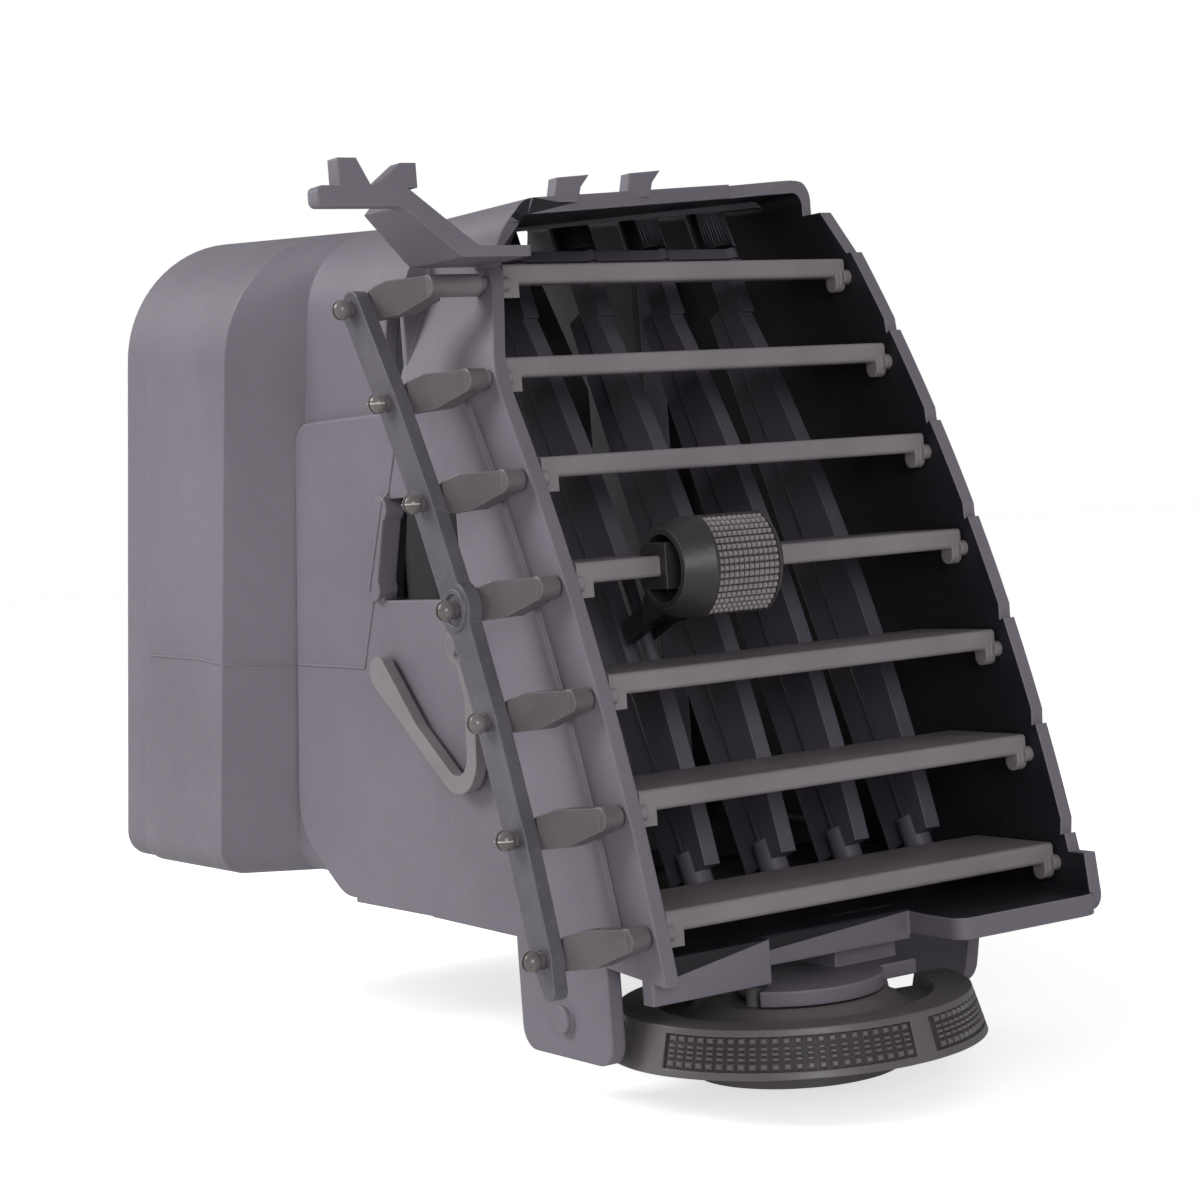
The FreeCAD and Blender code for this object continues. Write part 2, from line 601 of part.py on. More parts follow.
crank_low = rod_low + 1.8 + side_gap
crank_high = crank_low + 1.8
arm = strap("xy", (0, flap_axis), rod_end, 3.2, crank_low, crank_high, 2.2)
arm = join([arm, bar("xy", 0, flap_axis, 3.2, crank_low, floor_low - 2 - side_gap),
            bar("xy", rod_end[0], rod_end[1], 1.1, rod_low - 0.3, crank_low + 1)])
arm = arm.cut(bar("xy", 0, flap_axis, 1.6, -80, -40))
save("damper_crank", arm)

flap_low = floor_low + wall + 0.9
front_y = flap_axis - flap_front
rear_y = flap_axis + flap_rear


def flap_outline(grow):
    return [(front_y - grow, flap_low - grow * 0.6, 1), (rear_y + grow, flap_low - grow * 0.6, 1),
            (rear_y + grow, 51.4 + grow, 1), (58.7 - grow * 0.5, 46.6 + grow, 1), (front_y - grow, 25.5 + grow * 0.5, 1)]


flap = join([prism("yz", flap_outline(0), -1, 1), bar("xy", 0, flap_axis, 2.6, flap_low, flap_ceiling - 2.1),
             bar("xy", 0, flap_axis, 1.6, crank_low, flap_ceiling + 0.6)])
save("damper_flap", flap)
strip = prism("yz", flap_outline(1.1), -seal_side, seal_side)
strip = strip.cut(prism("yz", flap_outline(-2.5), -5, 5)).cut(prism("yz", flap_outline(0), -1, 1))
strip = strip.cut(bar("xy", 0, flap_axis, 4.6, 40, 60)).cut(bar("xy", 0, flap_axis, 4.2, -60, -36))
save("damper_seal", strip)


# Hooked leaf spring on the left wall

leaf_high = -half_out - 0.7
leaf_low = leaf_high - 1.6
leaf_half = 1.2
bend = (24.5, -21.6)
bend_radius = 4.3
bend_exit = 305.5
exit_turn = math.radians(bend_exit)
foot = (bend[0] + bend_radius * math.cos(exit_turn), bend[1] + bend_radius * math.sin(exit_turn))
peg = (22.4, -7.4)
rising = (bend[0] - bend_radius, bend[1])
leaf = [strap("yz", p, q, leaf_half, leaf_low, leaf_high)
        for p, q in ((peg, (19.7, -14)), ((19.7, -14), rising), (foot, (35.2, -19.2)))]
leaf.append(strap("yz", (35.2, -19.2), (44.2, -11.4), leaf_half, leaf_low, leaf_high, 2.3))
hook_bend = bar("yz", bend[0], bend[1], bend_radius + leaf_half, leaf_low, leaf_high)
hook_bend = hook_bend.cut(bar("yz", bend[0], bend[1], bend_radius - leaf_half, leaf_low - 1, leaf_high + 1))
wedge = [bend]
for share in (0, 0.5, 1):
    turn = math.radians(180 + (bend_exit - 180) * share)
    wedge.append((bend[0] + 12 * math.cos(turn), bend[1] + 12 * math.sin(turn)))
leaf.append(hook_bend.common(prism("yz", wedge, leaf_low - 1, leaf_high + 1)))
leaf.append(bar("yz", peg[0], peg[1], 2.6, leaf_low, -half_out - 0.5))
leaf = join(leaf).cut(bar("yz", peg[0], peg[1], 1.3, leaf_low - 1, -half_out))
save("hook_spring", leaf)
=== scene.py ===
import math

import bpy
from mathutils import Matrix, Vector


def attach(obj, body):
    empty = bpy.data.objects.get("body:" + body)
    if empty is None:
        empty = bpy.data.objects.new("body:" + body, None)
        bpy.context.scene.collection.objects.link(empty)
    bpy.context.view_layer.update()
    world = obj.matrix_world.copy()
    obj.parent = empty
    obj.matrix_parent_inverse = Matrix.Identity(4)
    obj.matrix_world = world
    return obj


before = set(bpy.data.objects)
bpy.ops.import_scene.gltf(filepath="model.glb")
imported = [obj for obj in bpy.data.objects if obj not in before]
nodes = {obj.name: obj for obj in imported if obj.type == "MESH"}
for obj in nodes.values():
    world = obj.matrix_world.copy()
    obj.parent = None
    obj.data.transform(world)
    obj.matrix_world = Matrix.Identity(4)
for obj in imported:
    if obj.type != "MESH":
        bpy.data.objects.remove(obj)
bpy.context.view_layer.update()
mm = 0.001
print("frame loaded:", len(nodes), "nodes")

screenCurve = {"knee": 0.04, "slope": 12.92, "offset": 0.055, "power": 2.4}


def linearTone(level):
    # one channel of a screen colour, 0 to 255, as the linear value that a shader takes
    share = level / 255
    if share <= screenCurve["knee"]:
        return share / screenCurve["slope"]
    return ((share + screenCurve["offset"]) / (1 + screenCurve["offset"])) ** screenCurve["power"]


def paint(red, green, blue):
    return linearTone(red), linearTone(green), linearTone(blue), 1


# Shader groups shared by all the plastics


def newGroup(name, inputs, outputs):
    tree = bpy.data.node_groups.new(name, "ShaderNodeTree")
    for label in inputs:
        tree.interface.new_socket(label, in_out="INPUT", socket_type="NodeSocketFloat")
    for label, kind in outputs.items():
        tree.interface.new_socket(label, in_out="OUTPUT", socket_type=kind)
    return tree, tree.nodes.new("NodeGroupInput"), tree.nodes.new("NodeGroupOutput")


def addNode(tree, kind, inputs=None, **settings):
    # an input is another node's socket, which is linked, or a plain value
    made = tree.nodes.new(kind)
    for key, value in settings.items():
        setattr(made, key, value)
    for key, value in (inputs or {}).items():
        if isinstance(value, bpy.types.NodeSocket):
            tree.links.new(value, made.inputs[key])
        else:
            made.inputs[key].default_value = value
    return made


def noiseValue(tree, inputs):
    place = addNode(tree, "ShaderNodeTexCoord").outputs["Object"]
    return addNode(tree, "ShaderNodeTexNoise", dict(inputs, Vector=place)).outputs["Fac"]


grainNoise = {"Detail": 3.0, "Roughness": 0.6}
coarseNoise = {"Scale": 420.0, "Detail": 2.0}
speckNoise = {"Scale": 900.0, "Detail": 1.0}
speckRange = {"From Min": 0.62, "From Max": 0.74}


def makeGrainGroup():
    # fine spark-eroded mould texture: height of the grain and pale flecks
    outputs = {"Height": "NodeSocketFloat", "Flecks": "NodeSocketFloat"}
    tree, start, end = newGroup("mouldGrain", ["Scale", "Fleck"], outputs)
    fine = noiseValue(tree, dict(grainNoise, Scale=start.outputs["Scale"]))
    coarse = noiseValue(tree, coarseNoise)
    both = addNode(tree, "ShaderNodeMath", {0: fine, 1: coarse}, operation="ADD")
    reach = {"Value": noiseValue(tree, speckNoise), "To Max": start.outputs["Fleck"]}
    specks = addNode(tree, "ShaderNodeMapRange", dict(speckRange, **reach))
    tree.links.new(both.outputs[0], end.inputs["Height"])
    tree.links.new(specks.outputs["Result"], end.inputs["Flecks"])
    return tree


edgeSamples = 6
edgeRange = {"From Min": 0.995, "From Max": 0.82}


def makeEdgeGroup():
    # moulded edges are softly rounded: a rounded normal and a mask that is 1 along the edges
    outputs = {"Normal": "NodeSocketVector", "Edge": "NodeSocketFloat"}
    tree, start, end = newGroup("softEdges", ["Radius"], outputs)
    radius = {"Radius": start.outputs["Radius"]}
    rounded = addNode(tree, "ShaderNodeBevel", radius, samples=edgeSamples).outputs["Normal"]
    plain = addNode(tree, "ShaderNodeNewGeometry").outputs["Normal"]
    likeness = addNode(tree, "ShaderNodeVectorMath", {0: rounded, 1: plain}, operation="DOT_PRODUCT")
    mask = addNode(tree, "ShaderNodeMapRange", dict(edgeRange, Value=likeness.outputs["Value"]))
    tree.links.new(rounded, end.inputs["Normal"])
    tree.links.new(mask.outputs["Result"], end.inputs["Edge"])
    return tree


toneNoise = {"Detail": 4.0, "Roughness": 0.55}
smearNoise = {"Scale": 160.0, "Detail": 3.0, "Distortion": 0.8}


def makeToneGroup():
    # slow drift of tone and gloss from flow in the mould and from handling
    outputs = {"Tone": "NodeSocketFloat", "Smear": "NodeSocketFloat"}
    tree, start, end = newGroup("flowTone", ["Scale"], outputs)
    slow = noiseValue(tree, dict(toneNoise, Scale=start.outputs["Scale"]))
    tree.links.new(slow, end.inputs["Tone"])
    tree.links.new(noiseValue(tree, smearNoise), end.inputs["Smear"])
    return tree


grainGroup = makeGrainGroup()
edgeGroup = makeEdgeGroup()
toneGroup = makeToneGroup()

# places of the colour sockets on a Mix node
mixSockets = {"first": 6, "second": 7, "result": 2}


def mixColours(tree, amount, first, second):
    inputs = {"Factor": amount, mixSockets["first"]: first, mixSockets["second"]: second}
    return addNode(tree, "ShaderNodeMix", inputs, data_type="RGBA").outputs[mixSockets["result"]]


toneDrift = {"From Min": 0.35, "From Max": 0.65}
glossDrift = {"From Min": 0.3, "From Max": 0.7}
glossSpread = 0.06
grainHeight = 0.06


def mouldedPlastic(name, look):
    material = bpy.data.materials.new(name)
    material.use_nodes = True
    tree = material.node_tree
    shader = tree.nodes["Principled BSDF"]
    grainInputs = {"Scale": look["grainScale"], "Fleck": look["fleck"]}
    grain = addNode(tree, "ShaderNodeGroup", grainInputs, node_tree=grainGroup)
    edges = addNode(tree, "ShaderNodeGroup", {"Radius": look["edgeRadius"] * mm}, node_tree=edgeGroup)
    tone = addNode(tree, "ShaderNodeGroup", {"Scale": look["toneScale"]}, node_tree=toneGroup)
    drift = addNode(tree, "ShaderNodeMapRange", dict(toneDrift, Value=tone.outputs["Tone"]))
    body = mixColours(tree, drift.outputs["Result"], look["dark"], look["colour"])
    flecked = mixColours(tree, grain.outputs["Flecks"], body, look["pale"])
    # painted highlight: the edges are mixed towards the pale colour by the edge mask
    highlightInputs = {0: edges.outputs["Edge"], 1: look["edgeHighlight"]}
    highlightAmount = addNode(tree, "ShaderNodeMath", highlightInputs, operation="MULTIPLY")
    highlightedColour = mixColours(tree, highlightAmount.outputs[0], flecked, look["pale"])
    tree.links.new(highlightedColour, shader.inputs["Base Color"])
    reach = {"Value": tone.outputs["Smear"], "To Min": look["rough"] - glossSpread,
             "To Max": look["rough"] + glossSpread}
    gloss = addNode(tree, "ShaderNodeMapRange", dict(glossDrift, **reach))
    tree.links.new(gloss.outputs["Result"], shader.inputs["Roughness"])
    bump = addNode(tree, "ShaderNodeBump", {"Height": grain.outputs["Height"],
                                            "Normal": edges.outputs["Normal"],
                                            "Strength": look["grainDepth"], "Distance": grainHeight * mm})
    tree.links.new(bump.outputs["Normal"], shader.inputs["Normal"])
    shader.inputs["Specular IOR Level"].default_value = look["gloss"]
    return material


housingLook = {"colour": paint(120, 114, 124), "dark": paint(110, 104, 114), "pale": paint(152, 147, 156),
               "rough": 0.5, "gloss": 0.4, "grainScale": 2600, "grainDepth": 0.5, "fleck": 0.06,
               "edgeRadius": 0.5, "edgeHighlight": 0.55, "toneScale": 30}
bladeLook = {"colour": paint(136, 129, 134), "dark": paint(126, 119, 124), "pale": paint(160, 153, 157),
             "rough": 0.42, "gloss": 0.45, "grainScale": 2200, "grainDepth": 0.35, "fleck": 0.06,
             "edgeRadius": 0.35, "edgeHighlight": 0.6, "toneScale": 80}
linkLook = {"colour": paint(92, 87, 97), "dark": paint(78, 74, 84), "pale": paint(134, 130, 140),
            "rough": 0.4, "gloss": 0.5, "grainScale": 2000, "grainDepth": 0.6, "fleck": 0.15,
            "edgeRadius": 0.3, "edgeHighlight": 0.7, "toneScale": 120}
vaneLook = {"colour": paint(98, 93, 104), "dark": paint(88, 83, 94), "pale": paint(124, 119, 131),
            "rough": 0.45, "gloss": 0.45, "grainScale": 2400, "grainDepth": 0.5, "fleck": 0.08,
            "edgeRadius": 0.3, "edgeHighlight": 0.5, "toneScale": 50}
# painted shade: the knob's body is far darker than the wheel's plastic, standing in for the shade on its
# end
knobShadeLook = {"colour": paint(54, 50, 52), "dark": paint(45, 42, 44), "pale": paint(116, 110, 112),
            "rough": 0.42, "gloss": 0.45, "grainScale": 2400, "grainDepth": 0.4, "fleck": 0.06,
            "edgeRadius": 0.25, "edgeHighlight": 0.5, "toneScale": 90}
darkLook = {"colour": paint(46, 44, 50), "dark": paint(40, 38, 44), "pale": paint(74, 72, 80),
            "rough": 0.48, "gloss": 0.4, "grainScale": 2400, "grainDepth": 0.4, "fleck": 0.15,
            "edgeRadius": 0.3, "edgeHighlight": 0.4, "toneScale": 60}
sealLook = {"colour": paint(38, 38, 40), "dark": paint(32, 32, 34), "pale": paint(56, 56, 60),
            "rough": 0.85, "gloss": 0.2, "grainScale": 900, "grainDepth": 0.9, "fleck": 0.3,
            "edgeRadius": 0.5, "edgeHighlight": 0.2, "toneScale": 60}
# painted shade: a near-black colour for the inner walls of the air passage, where the light does not reach
paintedShadeLook = {"colour": paint(34, 32, 38), "dark": paint(28, 26, 32), "pale": paint(60, 57, 66),
             "rough": 0.5, "gloss": 0.35, "grainScale": 2600, "grainDepth": 0.5, "fleck": 0.15,
             "edgeRadius": 0.4, "edgeHighlight": 0.4, "toneScale": 40}
# painted shade: the ball heads get a darker colour than the blade of the same louvre; they are also
# glossier
headShadeLook = {"colour": paint(112, 106, 106), "dark": paint(98, 92, 92), "pale": paint(160, 154, 154),
            "rough": 0.24, "gloss": 0.65, "grainScale": 1800, "grainDepth": 0.2, "fleck": 0.06,
            "edgeRadius": 0.15, "edgeHighlight": 0.6, "toneScale": 200}
# painted shade: a dark brown for the grooves of the knob and of the wheel, where shade falls
grooveShadeLook = {"colour": paint(62, 56, 57), "dark": paint(52, 47, 48), "pale": paint(84, 78, 79),
              "rough": 0.55, "gloss": 0.35, "grainScale": 2400, "grainDepth": 0.4, "fleck": 0.2,
              "edgeRadius": 0.1, "edgeHighlight": 0.3, "toneScale": 90}
# painted shade: the cranks are the blade's plastic in a darker colour, standing in for the shade they lie
# in
crankShadeLook = dict(bladeLook, colour=paint(104, 98, 101), dark=paint(90, 85, 88),
                 pale=paint(150, 144, 147), rough=0.34)
# painted highlight: the knob's knurl is far paler than the knob's body, standing in for the light on its
# tips
knurlHighlightLook = dict(knobShadeLook, colour=paint(150, 143, 146), dark=paint(138, 131, 134),
                 pale=paint(148, 142, 144))
wheelLook = dict(knobShadeLook, colour=paint(102, 97, 98), dark=paint(92, 87, 88),
                 pale=paint(120, 114, 115))
# painted highlight: the seams over the ball heads are near-white, standing in for the glints along them
seamHighlightLook = dict(headShadeLook, colour=paint(206, 200, 188), dark=paint(190, 184, 173),
                pale=paint(226, 221, 212))
springLook = dict(knobShadeLook, colour=paint(134, 127, 131), dark=paint(122, 115, 119),
                  pale=paint(160, 153, 157))

housingPlastic = mouldedPlastic("housingPlastic", housingLook)
crankShadePlastic = mouldedPlastic("crankShadePlastic", crankShadeLook)
knurlHighlightPlastic = mouldedPlastic("knurlHighlightPlastic", knurlHighlightLook)
wheelPlastic = mouldedPlastic("wheelPlastic", wheelLook)
springPlastic = mouldedPlastic("springPlastic", springLook)
seamHighlightPlastic = mouldedPlastic("seamHighlightPlastic", seamHighlightLook)
paintedShadePlastic = mouldedPlastic("paintedShadePlastic", paintedShadeLook)
headShadePlastic = mouldedPlastic("headShadePlastic", headShadeLook)
grooveShadePlastic = mouldedPlastic("grooveShadePlastic", grooveShadeLook)
bladePlastic = mouldedPlastic("bladePlastic", bladeLook)
linkPlastic = mouldedPlastic("linkPlastic", linkLook)
vanePlastic = mouldedPlastic("vanePlastic", vaneLook)
knobShadePlastic = mouldedPlastic("knobShadePlastic", knobShadeLook)
darkPlastic = mouldedPlastic("darkPlastic", darkLook)
sealRubber = mouldedPlastic("sealRubber", sealLook)

finishes = {"duct_housing": housingPlastic, "hook_spring": springPlastic, "wheel_clip": darkPlastic,
            "louvre_link": linkPlastic, "knob": knobShadePlastic, "knob_fork": darkPlastic,
            "vane_link": vanePlastic, "thumbwheel": wheelPlastic, "damper_rod": darkPlastic,
            "damper_crank": darkPlastic, "damper_flap": darkPlastic, "damper_seal": sealRubber}
louvreCount = 7
vaneCount = 5
louvreNames = ["louvre_" + str(number + 1) for number in range(louvreCount)]
vaneNames = ["vane_" + str(number + 1) for number in range(vaneCount)]
for louvre in louvreNames:
    finishes[louvre] = bladePlastic
for vane in vaneNames:
    finishes[vane] = vanePlastic


def dress(piece, material):
    mesh = nodes[piece].data
    mesh.materials.clear()
    mesh.materials.append(material)


def accent(piece, material, chosen):
    # another material on the faces whose centre, in millimetres, and normal pass the test
    mesh = nodes[piece].data
    mesh.materials.append(material)
    toWorld = nodes[piece].matrix_world
    for face in mesh.polygons:
        if chosen(toWorld @ face.center / mm, (toWorld.to_3x3() @ face.normal).normalized()):
            face.material_index = len(mesh.materials) - 1


passage = {"side": 32.6, "low": -47, "high": 49.5, "end": 68, "duct": 30, "axis": 5, "slantStart": 27,
           "slantHeight": 13, "slantWidth": 5.65, "inward": -0.25, "outward": 0.5, "crown": 40}
crankReach = {"shaft": -34.6, "head": -44.5}
knobBand = {"low": -14.65, "high": -5.05, "inner": 5, "outer": 7.1, "y": -0.5, "z": 1}
wheelBand = {"x": -7.33, "y": -7.03, "low": -59.6, "high": -55.3, "radius": 24.4, "foot": -60.4,
             "slope": 0.293, "deep": 0.6, "shallow": 0.2}


def insideOutlet(place, normal):
    # walls of the air passage, out of reach of the light; they get a near-black painted shade
    rise = min(1, max(0, (place.z - passage["slantStart"]) / passage["slantHeight"]))
    left = -passage["side"] + passage["slantWidth"] * rise
    facing = normal.dot(Vector((place.x, 0, place.z - passage["axis"])).normalized())
    if place.z > passage["crown"] and facing > passage["outward"]:
        return False
    if place.y > passage["duct"] and facing < passage["inward"]:
        return True
    across = left < place.x < passage["side"]
    return across and passage["low"] < place.z < passage["high"] and place.y < passage["end"]


def isCrank(place, normal):
    return place.x < crankReach["shaft"]


def isBallHead(place, normal):
    return place.x < crankReach["head"]


def isKnobGroove(place, normal):
    reach = math.hypot(place.y - knobBand["y"], place.z - knobBand["z"])
    return knobBand["low"] < place.x < knobBand["high"] and knobBand["inner"] < reach < knobBand["outer"]


def isWheelGroove(place, normal):
    # the wheel's rim is a cone, and the grooves lie just under its surface
    reach = math.hypot(place.x - wheelBand["x"], place.y - wheelBand["y"])
    cone = wheelBand["radius"] - (place.z - wheelBand["foot"]) * wheelBand["slope"]
    if not wheelBand["low"] < place.z < wheelBand["high"]:
        return False
    return cone - wheelBand["deep"] < reach < cone - wheelBand["shallow"]


for piece, material in finishes.items():
    dress(piece, material)
# painted shade on the inner walls of the air passage
accent("duct_housing", paintedShadePlastic, insideOutlet)
# painted shade: the cranks and the ball heads of each louvre get darker colours than the blade
for louvre in louvreNames:
    accent(louvre, crankShadePlastic, isCrank)
    accent(louvre, headShadePlastic, isBallHead)
# painted shade: dark brown on the faces in the grooves of the knob and of the wheel
accent("knob", grooveShadePlastic, isKnobGroove)
accent("thumbwheel", grooveShadePlastic, isWheelGroove)
print("plastics made:", len(finishes), "nodes dressed")


def addPiece(name, corners, faces, material, body):
    # a mesh from corners in millimetres, which rides on a body
    mesh = bpy.data.meshes.new(name)
    mesh.from_pydata([Vector(corner) * mm for corner in corners], [], faces)
    mesh.update()
    mesh.materials.append(material)
    made = bpy.data.objects.new(name, mesh)
    bpy.context.scene.collection.objects.link(made)
    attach(made, body)


# Knurls: rows of small blunt pyramids standing on a turned surface


def knurl(name, cells, surface, look, material, body):
    corners = []
    faces = []
    for u0, u1, v0, v1 in cells:
        first = len(corners)
        um, vm = (u0 + u1) / 2, (v0 + v1) / 2
        foot = [(u0, v0), (u1, v0), (u1, v1), (u0, v1)]
        top = [(um + (u - um) * look["blunt"], vm + (v - vm) * look["blunt"]) for u, v in foot]
        corners += [surface(u, v, -look["sink"]) for u, v in foot]
        corners += [surface(u, v, look["height"]) for u, v in top]
        a, b, c, d, e, f, g, h = range(first, first + 8)
        faces += [(a, d, c, b), (e, f, g, h), (a, b, f, e), (b, c, g, f), (c, d, h, g), (d, a, e, h)]
    addPiece(name, corners, faces, material, body)


knobKnurl = {"x": (-14.6, -5.1), "y": -0.5, "z": 1.0, "root": 6.95, "height": 0.34, "sink": 0.06,
             "blunt": 0.35, "rows": 12, "around": 48, "gap": 0.06, "flat": 6.0, "plainRear": 0.85}


def knobSurface(u, v, h):
    reach = knobKnurl["root"] + h
    return v, knobKnurl["y"] + reach * math.cos(u), knobKnurl["z"] + reach * math.sin(u)


def knobCells():
    # u is the turn round the knob's axis and v the place along it
    low, high = knobKnurl["x"]
    step = (high - low) / knobKnurl["rows"]
    turn = 2 * math.pi / knobKnurl["around"]
    near, far = knobKnurl["gap"], 1 - knobKnurl["gap"]
    cells = []
    for i in range(knobKnurl["around"]):
        u0 = i * turn
        mid = u0 + turn / 2
        onFlat = abs(math.sin(mid)) * knobKnurl["root"] > knobKnurl["flat"]
        if onFlat or math.cos(mid) > knobKnurl["plainRear"]:
            continue
        cells += [(u0 + turn * near, u0 + turn * far, low + step * (k + near), low + step * (k + far))
                  for k in range(knobKnurl["rows"])]
    return cells


# the knob's knurl gets the pale painted highlight colour
knurl("knob_knurl", knobCells(), knobSurface, knobKnurl, knurlHighlightPlastic, "knob")

wheelKnurl = {"x": -7.33, "y": -7.03, "low": -59.5, "high": -55.4, "lowRadius": 23.79, "highRadius": 22.58,
              "height": 0.34, "sink": 0.06, "blunt": 0.5, "lean": 0.28, "around": 104, "gap": 0.14,
              "bars": [(0.03, 0.25), (0.76, 0.97)], "studs": [(0.29, 0.41), (0.44, 0.56), (0.59, 0.71)],
              "plain": [(165, 189.4), (270.2, 277.8), (351.4, 360), (0, 20)]}


def wheelSurface(u, v, h):
    radius = wheelKnurl["lowRadius"] + (wheelKnurl["highRadius"] - wheelKnurl["lowRadius"]) * v + h
    z = wheelKnurl["low"] + (wheelKnurl["high"] - wheelKnurl["low"]) * v + h * wheelKnurl["lean"]
    return wheelKnurl["x"] + radius * math.cos(u), wheelKnurl["y"] + radius * math.sin(u), z


def wheelCells():
    # u is the turn round the wheel's axis and v the share of the band's height
    turn = 360 / wheelKnurl["around"]
    near, far = wheelKnurl["gap"], 1 - wheelKnurl["gap"]
    cells = []
    for i in range(wheelKnurl["around"]):
        start, end = (i + near) * turn, (i + far) * turn
        if any(low < end and start < high for low, high in wheelKnurl["plain"]):
            continue
        u0, u1 = math.radians(start), math.radians(end)
        cells += [(u0, u1, v0, v1) for v0, v1 in wheelKnurl["bars"] + wheelKnurl["studs"]]
    return cells


knurl("wheel_knurl", wheelCells(), wheelSurface, wheelKnurl, wheelPlastic, "wheel")
print("knurls made")

# Rim round the link bar's hole at the middle pin

pinRim = {"number": 4, "x": -44.2, "outer": 2.85, "inner": 1.9, "slope": 0.2, "height": 0.3, "sink": 0.1,
          "steps": 48}
arcShape = {"radius": 268.6, "lean": 23.5, "pitch": 15.0, "middle": 4, "back": 8.39, "drop": 2.08}


def pinPlace(number):
    # the pivots stand on the leaning arc of the outlet, and each pin stands behind and below its pivot
    lean = math.radians(arcShape["lean"])
    radius = arcShape["radius"]
    centre = Vector((radius * math.cos(lean), -radius * math.sin(lean)))
    turn = math.pi - lean - (arcShape["middle"] - number) * arcShape["pitch"] / radius
    pivot = centre + radius * Vector((math.cos(turn), math.sin(turn)))
    return pivot.x + arcShape["back"], pivot.y - arcShape["drop"]


def ringBand(name, look, material, body):
    # a low round rim that stands on a face looking towards -X, with its foot sunk in that face
    y, z = pinPlace(look["number"])
    section = [(look["outer"], -look["sink"]), (look["outer"] - look["slope"], look["height"]),
               (look["inner"] + look["slope"], look["height"]), (look["inner"], -look["sink"])]
    corners = []
    faces = []
    for i in range(look["steps"]):
        turn = 2 * math.pi * i / look["steps"]
        corners += [(look["x"] - out, y + reach * math.cos(turn), z + reach * math.sin(turn))
                    for reach, out in section]
        a, b = 4 * i, 4 * ((i + 1) % look["steps"])
        faces += [(a + (k + 1) % 4, b + (k + 1) % 4, b + k, a + k) for k in range(4)]
    addPiece(name, corners, faces, material, body)


ringBand("pin_rim", pinRim, linkPlastic, "link_bar")

# Moulding seams over three of the ball heads: low raised strips in a near-white painted highlight colour

stripTop = 0.5


def raisedStrip(name, stations, look, material, body):
    # a low strip along stations of place and outward direction, with its foot sunk in the face below
    section = [(1, -look["sink"]), (stripTop, look["height"]),
               (-stripTop, look["height"]), (-1, -look["sink"])]
    corners = []
    for i, (place, outward) in enumerate(stations):
        before, after = stations[max(0, i - 1)][0], stations[min(len(stations) - 1, i + 1)][0]
        across = (after - before).cross(outward).normalized() * look["width"] / 2
        corners += [place + across * share + outward * out for share, out in section]
    faces = [(0, 1, 2, 3)]
    for i in range(len(stations) - 1):
        a, b = 4 * i, 4 * i + 4
        faces += [(a + k, b + k, b + (k + 1) % 4, a + (k + 1) % 4) for k in range(4)]
    last = 4 * (len(stations) - 1)
    faces.append((last + 3, last + 2, last + 1, last))
    addPiece(name, corners, faces, material, body)


headSeam = {"x": -45.5, "radius": 1.35, "from": 15, "to": 100, "steps": 14, "width": 0.24, "height": 0.1,
            "sink": 0.05, "louvres": (2, 3, 6), "sides": {"front": -1, "rear": 1}}


def seamStations(look, number, side):
    # an arc over the ball head, level with the pin, from beside the slit to the neck
    y, z = pinPlace(number)
    stations = []
    for k in range(look["steps"] + 1):
        turn = math.radians(look["from"] + (look["to"] - look["from"]) * k / look["steps"])
        outward = Vector((-math.cos(turn), side * math.sin(turn), 0))
        stations.append((Vector((look["x"], y, z)) + outward * look["radius"], outward))
    return stations


for number in headSeam["louvres"]:
    for label, side in headSeam["sides"].items():
        seam = "head_seam_" + label + "_" + str(number)
        arc = seamStations(headSeam, number, side)
        raisedStrip(seam, arc, headSeam, seamHighlightPlastic, "louvre_" + str(number))
print("rim and seams made")

# Parting line of the mould on the left wall

partingLine = {"path": [(108, -9.0), (90, -9.4), (75.7, -10.7), (52.2, -11.0), (37.7, 21.7)],
               "rayStart": -80, "step": 1.5, "width": 0.5, "height": 0.16, "sink": 0.12}


def pathPoints(path, step):
    points = []
    for start, end in zip(path, path[1:]):
        count = max(1, round(math.dist(start, end) / step))
        points += [(start[0] + (end[0] - start[0]) * k / count, start[1] + (end[1] - start[1]) * k / count)
                   for k in range(count)]
    return points + [path[-1]]


def wallStations(look):
    # places on the housing's outer face, met by rays from the left
    wall = nodes["duct_housing"]
    local = wall.matrix_world.inverted()
    outward = Vector((-1, 0, 0))
    stations = []
    for y, z in pathPoints(look["path"], look["step"]):
        start = local @ (Vector((look["rayStart"], y, z)) * mm)
        met, place = wall.ray_cast(start, local.to_3x3() @ -outward)[:2]
        if met:
            stations.append((Vector(((wall.matrix_world @ place).x / mm, y, z)), outward))
    return stations


raisedStrip("parting_line", wallStations(partingLine), partingLine, housingPlastic, "housing")
print("parting line made")

# Studio: pale floor, soft lights, camera at the photograph's angle

white = (1, 1, 1, 1)
skyLook = {"light": 0.36, "seen": 1.0}
world = bpy.data.worlds.new("studio")
bpy.context.scene.world = world
world.use_nodes = True
worldTree = world.node_tree
sky = worldTree.nodes["Background"]
sky.inputs["Color"].default_value = white
sky.inputs["Strength"].default_value = skyLook["light"]
seenSky = addNode(worldTree, "ShaderNodeBackground", {"Color": white, "Strength": skyLook["seen"]})
rays = addNode(worldTree, "ShaderNodeLightPath")
skyInputs = {0: rays.outputs["Is Camera Ray"], 1: sky.outputs[0], 2: seenSky.outputs[0]}
chosenSky = addNode(worldTree, "ShaderNodeMixShader", skyInputs)
worldTree.links.new(chosenSky.outputs[0], worldTree.nodes["World Output"].inputs["Surface"])

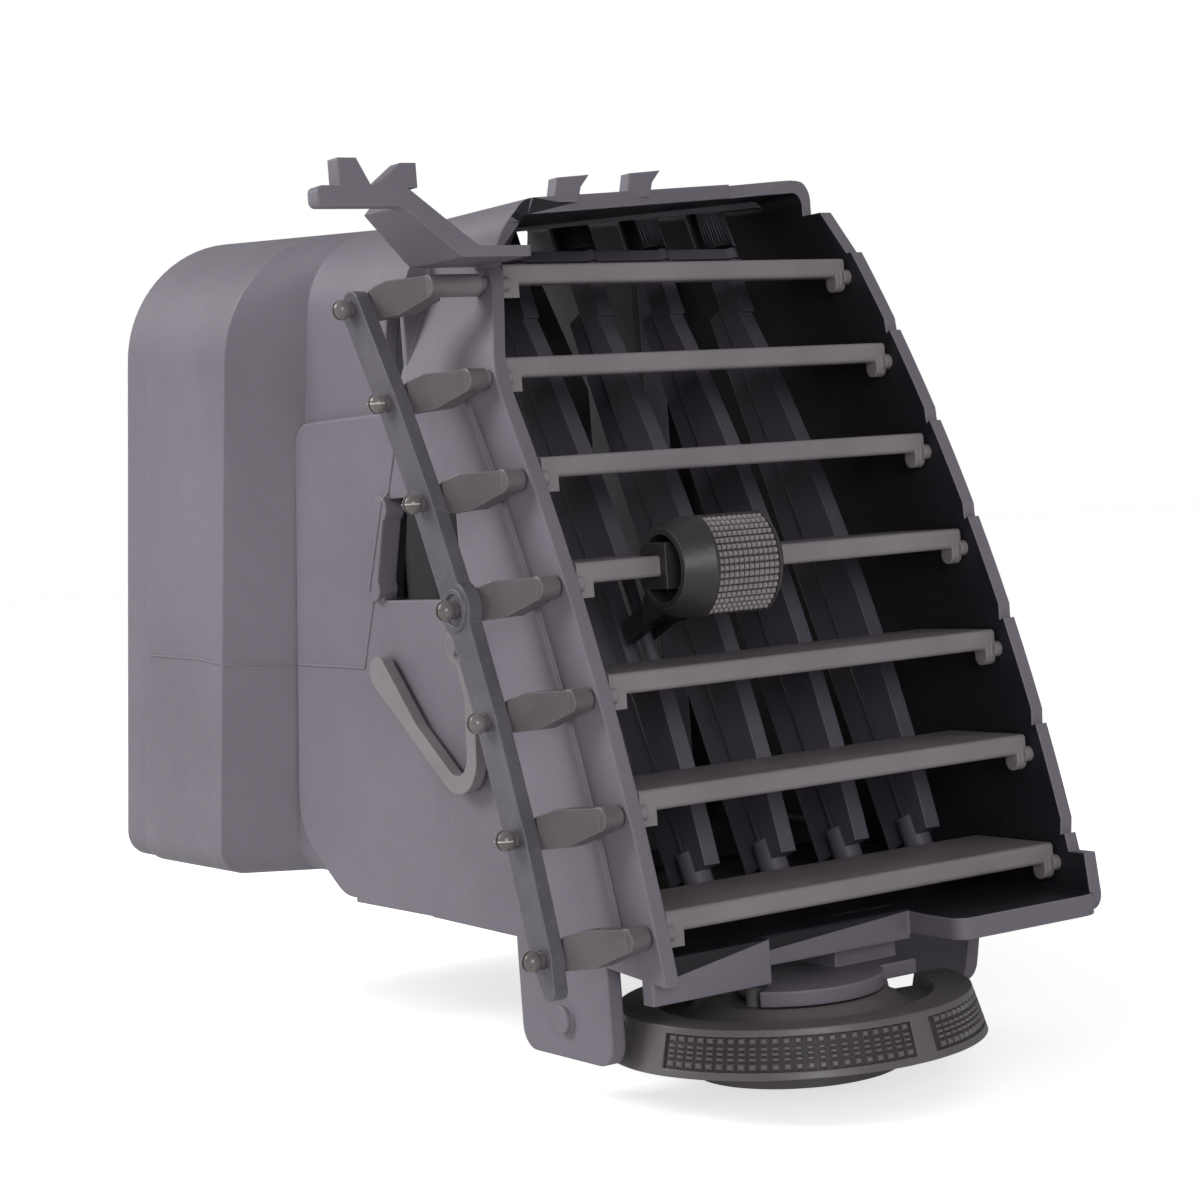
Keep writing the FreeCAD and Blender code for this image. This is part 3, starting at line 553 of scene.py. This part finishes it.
floorLook = {"z": -66.5, "size": 6000, "tone": 0.85, "rough": 0.9, "lift": 0.68}
half = floorLook["size"] * mm / 2
floorMesh = bpy.data.meshes.new("floor")
floorMesh.from_pydata([(-half, -half, 0), (half, -half, 0), (half, half, 0), (-half, half, 0)], [],
                      [(0, 1, 2, 3)])
floor = bpy.data.objects.new("floor", floorMesh)
floor.location.z = floorLook["z"] * mm
bpy.context.scene.collection.objects.link(floor)
floorPaint = bpy.data.materials.new("floorPaint")
floorPaint.use_nodes = True
floorTree = floorPaint.node_tree
matt = floorTree.nodes["Principled BSDF"]
matt.inputs["Base Color"].default_value = (floorLook["tone"], floorLook["tone"], floorLook["tone"], 1)
matt.inputs["Roughness"].default_value = floorLook["rough"]
floorRays = addNode(floorTree, "ShaderNodeLightPath")
liftInputs = {0: floorRays.outputs["Is Camera Ray"], 1: floorLook["lift"]}
lift = addNode(floorTree, "ShaderNodeMath", liftInputs, operation="MULTIPLY")
matt.inputs["Emission Color"].default_value = white
floorTree.links.new(lift.outputs[0], matt.inputs["Emission Strength"])
floorMesh.materials.append(floorPaint)

keyLight = {"place": (-0.55, 0.42, 0.45), "aim": (0, 0.06, 0), "width": 0.35, "power": 4.4}
frontLight = {"place": (-0.5, -1.15, 0.3), "aim": (0, 0, 0), "width": 0.5, "power": 5.8}


def softbox(name, look):
    # a square lamp, placed and sized in metres
    lamp = bpy.data.lights.new(name, "AREA")
    lamp.shape = "SQUARE"
    lamp.size = look["width"]
    lamp.energy = look["power"]
    made = bpy.data.objects.new(name, lamp)
    made.location = Vector(look["place"])
    made.rotation_mode = "QUATERNION"
    aim = Vector(look["aim"]) - Vector(look["place"])
    made.rotation_quaternion = aim.to_track_quat("-Z", "Y")
    bpy.context.scene.collection.objects.link(made)


softbox("keyLight", keyLight)
softbox("frontLight", frontLight)

# eye in millimetres, focal length and frame in pixels of the photograph
shot = {"azimuth": -33.06, "elevation": 2.30, "roll": 4.2, "eye": (-210.15, -279.9, 11.2), "focal": 2660,
        "frame": 1200, "sensor": 36}
azimuth = math.radians(shot["azimuth"])
elevation = math.radians(shot["elevation"])
roll = math.radians(shot["roll"])
backward = Vector((math.sin(azimuth) * math.cos(elevation), -math.cos(azimuth) * math.cos(elevation),
                   math.sin(elevation)))
level = Vector((math.cos(azimuth), math.sin(azimuth), 0))
upright = backward.cross(level)
rightward = level * math.cos(roll) - upright * math.sin(roll)
upward = level * math.sin(roll) + upright * math.cos(roll)
lens = bpy.data.cameras.new("camera")
lens.sensor_width = shot["sensor"]
lens.lens = shot["focal"] / shot["frame"] * shot["sensor"]
camera = bpy.data.objects.new("camera", lens)
cameraTurn = Matrix((rightward, upward, backward)).transposed().to_4x4()
camera.matrix_world = Matrix.Translation(Vector(shot["eye"]) * mm) @ cameraTurn
bpy.context.scene.collection.objects.link(camera)
bpy.context.scene.camera = camera
bpy.context.scene.view_settings.view_transform = "Standard"
print("studio ready")
